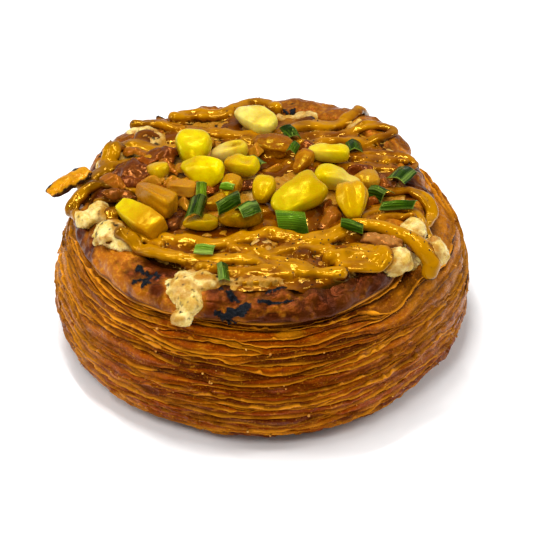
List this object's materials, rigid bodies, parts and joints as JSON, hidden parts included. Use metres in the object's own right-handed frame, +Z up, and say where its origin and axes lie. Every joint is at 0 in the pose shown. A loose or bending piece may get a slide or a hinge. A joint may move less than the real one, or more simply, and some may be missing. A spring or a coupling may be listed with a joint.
{
  "type": "savoury danish",
  "caption": "Round savoury danish of flaky laminated dough, filled with soft cheese, striped with baked sauce and topped with sweetcorn, browned onion and chives.",
  "frame": {"origin": "centre of the bounding box on the plane of the flat base", "axes": "+Z up out of the base, -Y to the front that the picture shows, +X to its right"},
  "size_m": [0.0962, 0.0953, 0.0457],
  "materials": {
    "dough": "baked laminated crust, satin from a butter and egg wash",
    "filling": "soft baked cheese under a glossy amber sauce",
    "corn": "wet, glossy sweetcorn",
    "onion": "browned onion, translucent and glossy",
    "chive": "cut chive, fibrous and slightly wet"
  },
  "bodies": {
    "root": {"browned_onion_01": "onion", "browned_onion_02": "onion", "browned_onion_03": "onion", "browned_onion_04": "onion", "browned_onion_05": "onion", "browned_onion_06": "onion", "browned_onion_07": "onion", "browned_onion_08": "onion", "browned_onion_09": "onion", "browned_onion_10": "onion", "charred_slice": "onion", "cheese_and_sauce": "filling", "chive_01": "chive", "chive_02": "chive", "chive_03": "chive", "chive_04": "chive", "chive_05": "chive", "chive_06": "chive", "chive_07": "chive", "chive_08": "chive", "chive_09": "chive", "chive_10": "chive", "chive_11": "chive", "chive_12": "chive", "chive_13": "chive", "chive_14": "chive", "chive_15": "chive", "chive_16": "chive", "corn_kernel_01": "corn", "corn_kernel_02": "corn", "corn_kernel_03": "corn", "corn_kernel_04": "corn", "corn_kernel_05": "corn", "corn_kernel_06": "corn", "corn_kernel_07": "corn", "corn_kernel_08": "corn", "corn_kernel_09": "corn", "corn_kernel_10": "corn", "corn_kernel_11": "corn", "corn_kernel_12": "corn", "corn_kernel_13": "corn", "corn_kernel_14": "corn", "corn_kernel_15": "corn", "corn_kernel_16": "corn", "corn_kernel_17": "corn", "corn_kernel_18": "corn", "corn_kernel_19": "corn", "corn_kernel_20": "corn", "corn_kernel_21": "corn", "laminated_dough": "dough"}
  },
  "joints": []
}
